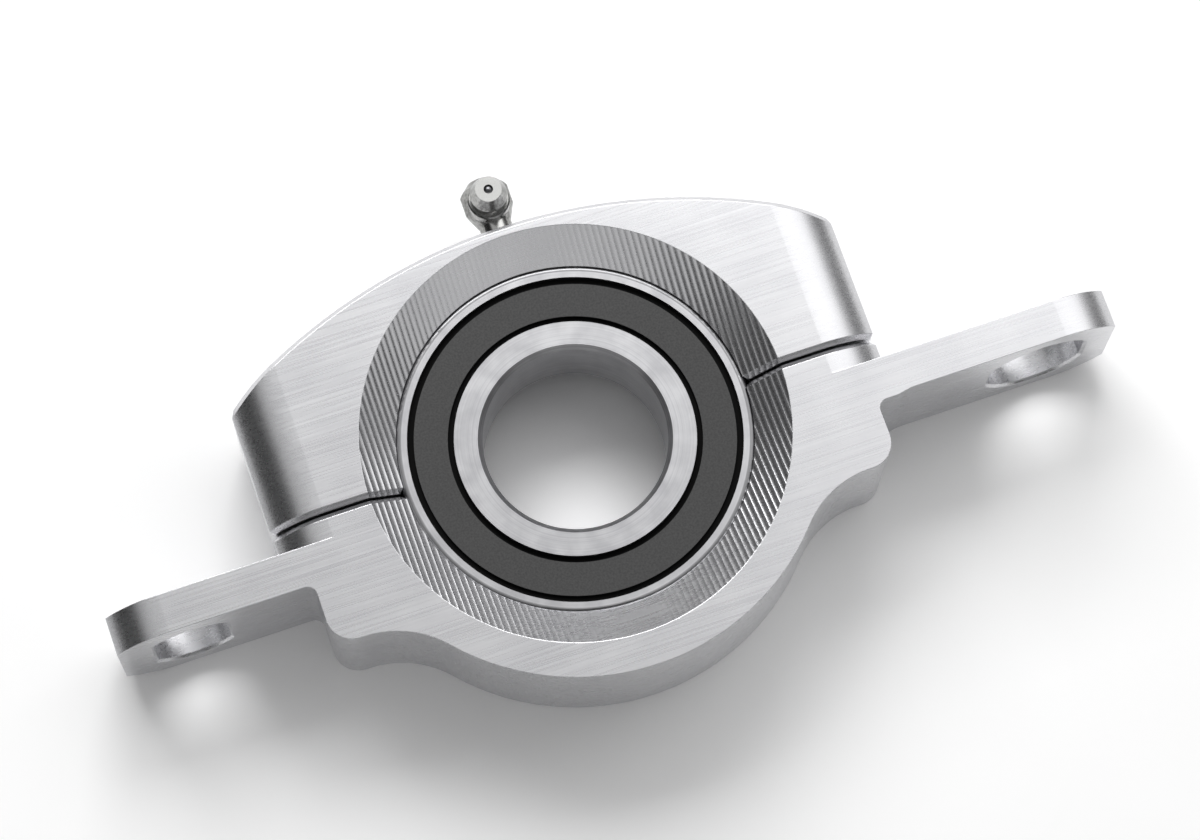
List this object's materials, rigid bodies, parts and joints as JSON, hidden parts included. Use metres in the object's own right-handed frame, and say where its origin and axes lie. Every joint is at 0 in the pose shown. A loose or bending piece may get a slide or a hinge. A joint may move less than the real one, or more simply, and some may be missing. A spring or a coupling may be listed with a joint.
{
  "type": "driveshaft centre bearing",
  "caption": "Sealed ball bearing clamped in a split aluminium carrier with two slotted ears, cap screws from above and an angled grease fitting on the crown.",
  "frame": {"origin": "middle of the bearing: on the shaft's axis, half-way through the bearing's width", "axes": "+Z along the shaft's axis, towards the side with the grease fitting's head; +X along the ears, towards the longer one; +Y towards the cap. Lying on its flat back face, the object stands on the plane Z = -12.7 mm."},
  "size_m": [0.1796, 0.0941, 0.0254],
  "materials": {
    "carrier_aluminium": "machined",
    "ring_steel": "ground",
    "ball_steel": "polished",
    "cage_steel": "pressed sheet",
    "seal_rubber": "matte moulded",
    "screw_steel": "blackened",
    "fitting_steel": "zinc plated",
    "spring_steel": "drawn wire"
  },
  "bodies": {
    "housing": {"saddle": "carrier_aluminium", "cap": "carrier_aluminium", "cap_screw_left": "screw_steel", "cap_screw_right": "screw_steel", "outer_ring": "ring_steel", "seal_front": "seal_rubber", "seal_back": "seal_rubber", "seal_plate_front": "cage_steel", "seal_plate_back": "cage_steel", "grease_fitting": "fitting_steel", "grease_spring": "spring_steel"},
    "inner_race": {"inner_ring": "ring_steel"},
    "cage": {"cage_front": "cage_steel", "cage_back": "cage_steel", "cage_rivets": "cage_steel", "ball_1": "ball_steel", "ball_2": "ball_steel", "ball_3": "ball_steel", "ball_4": "ball_steel", "ball_5": "ball_steel", "ball_6": "ball_steel", "ball_7": "ball_steel", "ball_8": "ball_steel", "ball_9": "ball_steel"},
    "check_ball": {"grease_check_ball": "ball_steel"}
  },
  "joints": [
    {"name": "inner_spin", "type": "hinge", "parent": "housing", "child": "inner_race", "pos_m": [0, 0, 0], "axis": [0, 0, 1], "continuous": true},
    {"name": "cage_spin", "type": "hinge", "parent": "housing", "child": "cage", "pos_m": [0, 0, 0], "axis": [0, 0, 1], "continuous": true},
    {"name": "check_ball_press", "type": "slide", "parent": "housing", "child": "check_ball", "axis": [0, 0, -1], "range_m": [0, 0.0008], "stiffness_N_per_m": 150, "springref_m": -0.0005, "deforming": ["grease_spring"]}
  ],
  "couplings": [
    {"joint": "cage_spin", "follows": "inner_spin", "ratio": 0.3978}
  ]
}
